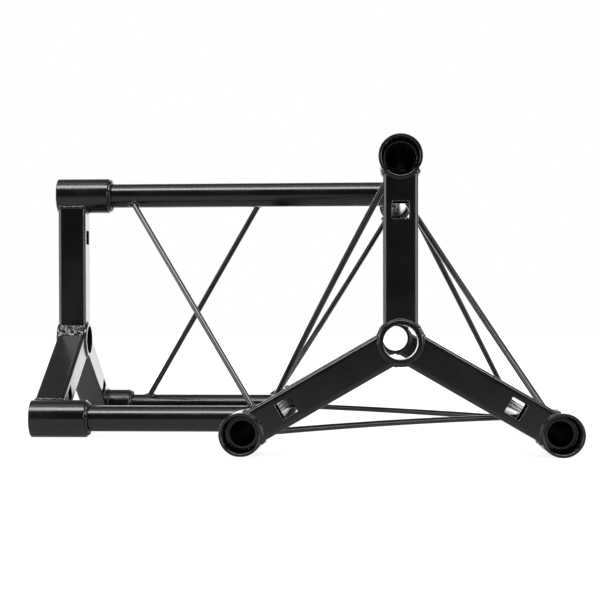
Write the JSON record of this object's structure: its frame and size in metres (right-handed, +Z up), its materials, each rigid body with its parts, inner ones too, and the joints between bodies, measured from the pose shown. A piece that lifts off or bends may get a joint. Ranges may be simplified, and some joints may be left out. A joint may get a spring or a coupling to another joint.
{
  "type": "lighting truss section",
  "caption": "Black triangular lighting truss junction with a side leg at 90 degrees, Y-shaped end frames with open sockets and a hub, and thin welded lacing rods.",
  "frame": {"origin": "centre of the front hub bore, in the mating face of the long leg's front end frame", "axes": "+Z up towards the top chord, +Y along the long leg away from the front mating face, -X along the side leg"},
  "size_m": [0.4429, 0.5, 0.231],
  "materials": {
    "frame_paint": "semi-gloss black stove enamel",
    "socket_paint": "semi-gloss black stove enamel",
    "chord_paint": "semi-gloss black stove enamel",
    "rod_paint": "semi-gloss black stove enamel"
  },
  "bodies": {
    "root": {"front_hub": "frame_paint", "rear_hub": "frame_paint", "side_hub": "frame_paint", "front_arm_top": "frame_paint", "front_arm_left": "frame_paint", "front_arm_right": "frame_paint", "rear_arm_top": "frame_paint", "rear_arm_left": "frame_paint", "rear_arm_right": "frame_paint", "side_arm_top": "frame_paint", "side_arm_rear": "frame_paint", "side_arm_front": "frame_paint", "front_socket_top": "socket_paint", "front_socket_left": "socket_paint", "front_socket_right": "socket_paint", "rear_socket_top": "socket_paint", "rear_socket_left": "socket_paint", "rear_socket_right": "socket_paint", "side_socket_top": "socket_paint", "side_socket_rear": "socket_paint", "side_socket_front": "socket_paint", "long_chord_top": "chord_paint", "long_chord_left": "chord_paint", "long_chord_right": "chord_paint", "side_chord_top": "chord_paint", "side_chord_rear": "chord_paint", "side_chord_front": "chord_paint", "long_rod_left_front": "rod_paint", "long_rod_bottom_front": "rod_paint", "long_rod_right_front": "rod_paint", "long_rod_left_rear": "rod_paint", "long_rod_bottom_rear": "rod_paint", "long_rod_right_rear": "rod_paint", "side_rod_rear": "rod_paint", "side_rod_bottom": "rod_paint", "side_rod_front": "rod_paint"}
  },
  "joints": []
}
